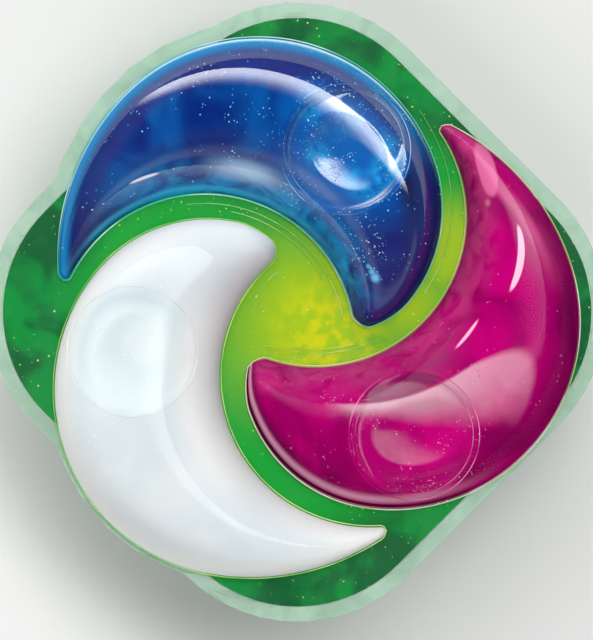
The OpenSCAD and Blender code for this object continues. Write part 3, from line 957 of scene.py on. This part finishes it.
def film_gloss(name):
    """How glossy the film is at each point of a chamber: taut on the crown, duller on the steep walls."""
    from_inner, from_outer = from_feet(dome(FILM, FILM_LIFT, FILM_ACROSS))
    wall = smooth_step(np.minimum(from_outer, from_inner * 0.8) - 0.9)
    gloss = WALL_GLOSS + (1 - WALL_GLOSS) * wall
    if name == "white":
        gloss = gloss * WHITE_GLOSS
    if name == "magenta":
        to_tail = smooth_step((station_along[:, None] - 0.62) / 0.12)
        outer_half = MAGENTA_HEAD_GLOSS + (MAGENTA_TAIL_GLOSS - MAGENTA_HEAD_GLOSS) * to_tail
        gloss = gloss * np.where(from_inner < from_outer, MAGENTA_INNER_GLOSS, outer_half)
    return np.tile(at_points(gloss), 2)


def foot_outline(grow):
    """The outline of a chamber's foot."""
    rows = dome(grow)
    head, tail = tip_points(grow, TOP_Z)
    return np.vstack([head[None], rows[:, 0], tail[None], rows[::-1, -1]])[:, :2]


openings = [turned(foot_outline(FILM / 2), t) for t in TURNS.values()]
top_sheet = plate(flange_outline, openings, TOP_Z, TOP_Z + FILM)
top_film = clear_film("top_film", TOP_TINT, TOP_MILK, 0.0, 120, 0.09, gloss="gloss")
top_piece = piece("top_film", merged(top_sheet, *[film_dome(t) for t in TURNS.values()]),
                  top_film, "top_film")
gloss = np.concatenate([np.full(len(top_sheet[0]), FLAT_GLOSS), *[film_gloss(name) for name in TURNS]])
gloss_layer = top_piece.data.attributes.new("gloss", "FLOAT", "POINT")
gloss_layer.data.foreach_set("value", gloss.astype(np.float32))
top_piece.visible_shadow = False  # as clear as the dye under it
pull_lines = []
for name, turn in TURNS.items():
    foot = turned(foot_outline(FILM), turn)
    loop = np.column_stack([foot, np.full(len(foot), TOP_Z + FILM)])
    label = name + "_seal_bead"
    finish = shiny(label, *SEAL_COLOURS[name], 0.2, 130)
    grown(label, loops_mesh(label, [loop]), bead, {
        "Radius": SEAL_BEAD * MM, "Sides": 8, "Finish": finish})
    for away, start, end in PULL_LINES[name]:
        wide = turned(foot_outline(FILM + away), turn)
        part = wide[int(start * len(wide)):int(end * len(wide))]
        pull_lines.append(np.column_stack([part, np.full(len(part), TOP_Z + FILM)]))
finish = shiny("pull_lines", (0.55, 0.8, 0.4, 1), (0.15, 0.55, 0.1, 1), 0.2, 200)
grown("pull_lines", loops_mesh("pull_lines", pull_lines, closed=False), bead, {
    "Radius": PULL_LINE * MM, "Sides": 6, "Finish": finish})

# ---- Floor, light and camera ----
# The pod lies on a plain pale floor under soft studio light, seen from straight above.
# A long softbox over the north makes the curved highlights on the film.
FLOOR_HALF, FLOOR_Z = 4.0, -0.00003
FLOOR_PAINT, BACKDROP = (0.7, 0.7, 0.695, 1), (0.7, 0.7, 0.7, 1)
floor_corners = [(x * FLOOR_HALF, y * FLOOR_HALF, FLOOR_Z) for x, y in ((-1, -1), (1, -1), (1, 1), (-1, 1))]
floor_mesh = bpy.data.meshes.new("floor")
floor_mesh.from_pydata(floor_corners, [], [(0, 1, 2, 3)])
floor_material, tree = new_material("floor")
paint = node_in(tree, "ShaderNodeBsdfPrincipled", {"Base Color": FLOOR_PAINT, "Roughness": 0.6})
node_in(tree, "ShaderNodeOutputMaterial", {"Surface": paint.outputs[0]})
floor_mesh.materials.append(floor_material)
floor = bpy.data.objects.new("floor", floor_mesh)
bpy.context.scene.collection.objects.link(floor)

# Softboxes: azimuth and half width in degrees, the way up their edges lie square to,
# the lower edge and how soft it is, the upper edge and how far it fades, and the ends' softness
NORTH_BOX, NORTH_LIGHT = (68, 68, (-0.78, -0.45, 1), 0.2, 0.04, 0.4, 0.55), 6.2
SOUTH_BOX, SOUTH_LIGHT = (265, 70, (0, 0, 1), 0.3, 0.15, 0.5, 0.2), 0.4
BOX_ENDS = 0.12
world = bpy.data.worlds.new("studio")
bpy.context.scene.world = world
world.use_nodes = True
tree = world.node_tree
tree.nodes.clear()
sky = node_in(tree, "ShaderNodeTexCoord").outputs["Generated"]
heights = node_in(tree, "ShaderNodeSeparateXYZ", {"Vector": sky})


def cosine(a, b):
    """The cosine between two directions of the sky."""
    return node_in(tree, "ShaderNodeVectorMath", {0: a, 1: b}, operation="DOT_PRODUCT").outputs["Value"]


def soft_box(azimuth, half_width, lean, low, sharp, high, fade):
    """A long softbox across the sky: sharp below, fading upwards, soft at its ends."""
    way = (*toward(azimuth), 0)
    flat = node_in(tree, "ShaderNodeVectorMath", {0: sky, 1: (1, 1, 0)}, operation="MULTIPLY").outputs[0]
    flat = node_in(tree, "ShaderNodeVectorMath", {0: flat}, operation="NORMALIZE").outputs[0]
    along, above = cosine(flat, way), cosine(sky, lean)
    cos_half = float(np.cos(np.radians(half_width)))
    return times(tree, scaled(tree, along, cos_half - BOX_ENDS, cos_half + BOX_ENDS),
                 scaled(tree, above, low, low + sharp), scaled(tree, above, high + fade, high))


north = times(tree, soft_box(*NORTH_BOX), NORTH_LIGHT)
south = times(tree, soft_box(*SOUTH_BOX), SOUTH_LIGHT)
even = node_in(tree, "ShaderNodeMapRange", {
    "Value": heights.outputs["Z"], "From Min": 0.8, "From Max": 0.95, "To Min": 0.13, "To Max": 0.04})
light = maths(tree, "ADD", maths(tree, "ADD", north, south), even.outputs[0])
lit = node_in(tree, "ShaderNodeBackground", {"Color": (1, 1, 1, 1), "Strength": light})
seen = node_in(tree, "ShaderNodeBackground", {"Color": BACKDROP, "Strength": 1.0})
path = node_in(tree, "ShaderNodeLightPath")
both = node_in(tree, "ShaderNodeMixShader", {
    0: path.outputs["Is Camera Ray"], 1: lit.outputs[0], 2: seen.outputs[0]})
node_in(tree, "ShaderNodeOutputWorld", {"Surface": both.outputs[0]})

# A large soft lamp fills in from the south-south-west; it isn't seen in the film
FILL_AZIMUTH, FILL_AWAY, FILL_UP, FILL_SIZE, FILL_WATTS = 245, 0.75, 1.0, 1.0, 7.0
fill_data = bpy.data.lights.new("fill", "AREA")
fill_data.shape = "SQUARE"
fill_data.size = FILL_SIZE
fill_data.energy = FILL_WATTS
fill = bpy.data.objects.new("fill", fill_data)
fill.location = (*(FILL_AWAY * toward(FILL_AZIMUTH)), FILL_UP)
fill.rotation_euler = (np.arctan2(FILL_AWAY, FILL_UP), 0, np.radians(FILL_AZIMUTH + 90))
fill.visible_glossy = False
fill.visible_camera = False
bpy.context.scene.collection.objects.link(fill)

# The camera is far off and long, so that the picture is almost without perspective
CAMERA_HEIGHT, VIEW_HEIGHT, SENSOR = 0.8, 0.0563, 36
AIM_X, AIM_Y, AIM_Z = -0.00006, -0.00069, 0.0125
camera_data = bpy.data.cameras.new("camera")
camera_data.sensor_width = SENSOR
camera_data.lens = SENSOR * CAMERA_HEIGHT / VIEW_HEIGHT
camera_data.clip_end = 10
camera = bpy.data.objects.new("camera", camera_data)
camera.location = (AIM_X, AIM_Y, AIM_Z + CAMERA_HEIGHT)
bpy.context.scene.collection.objects.link(camera)
bpy.context.scene.camera = camera
bpy.context.scene.view_settings.view_transform = "Standard"
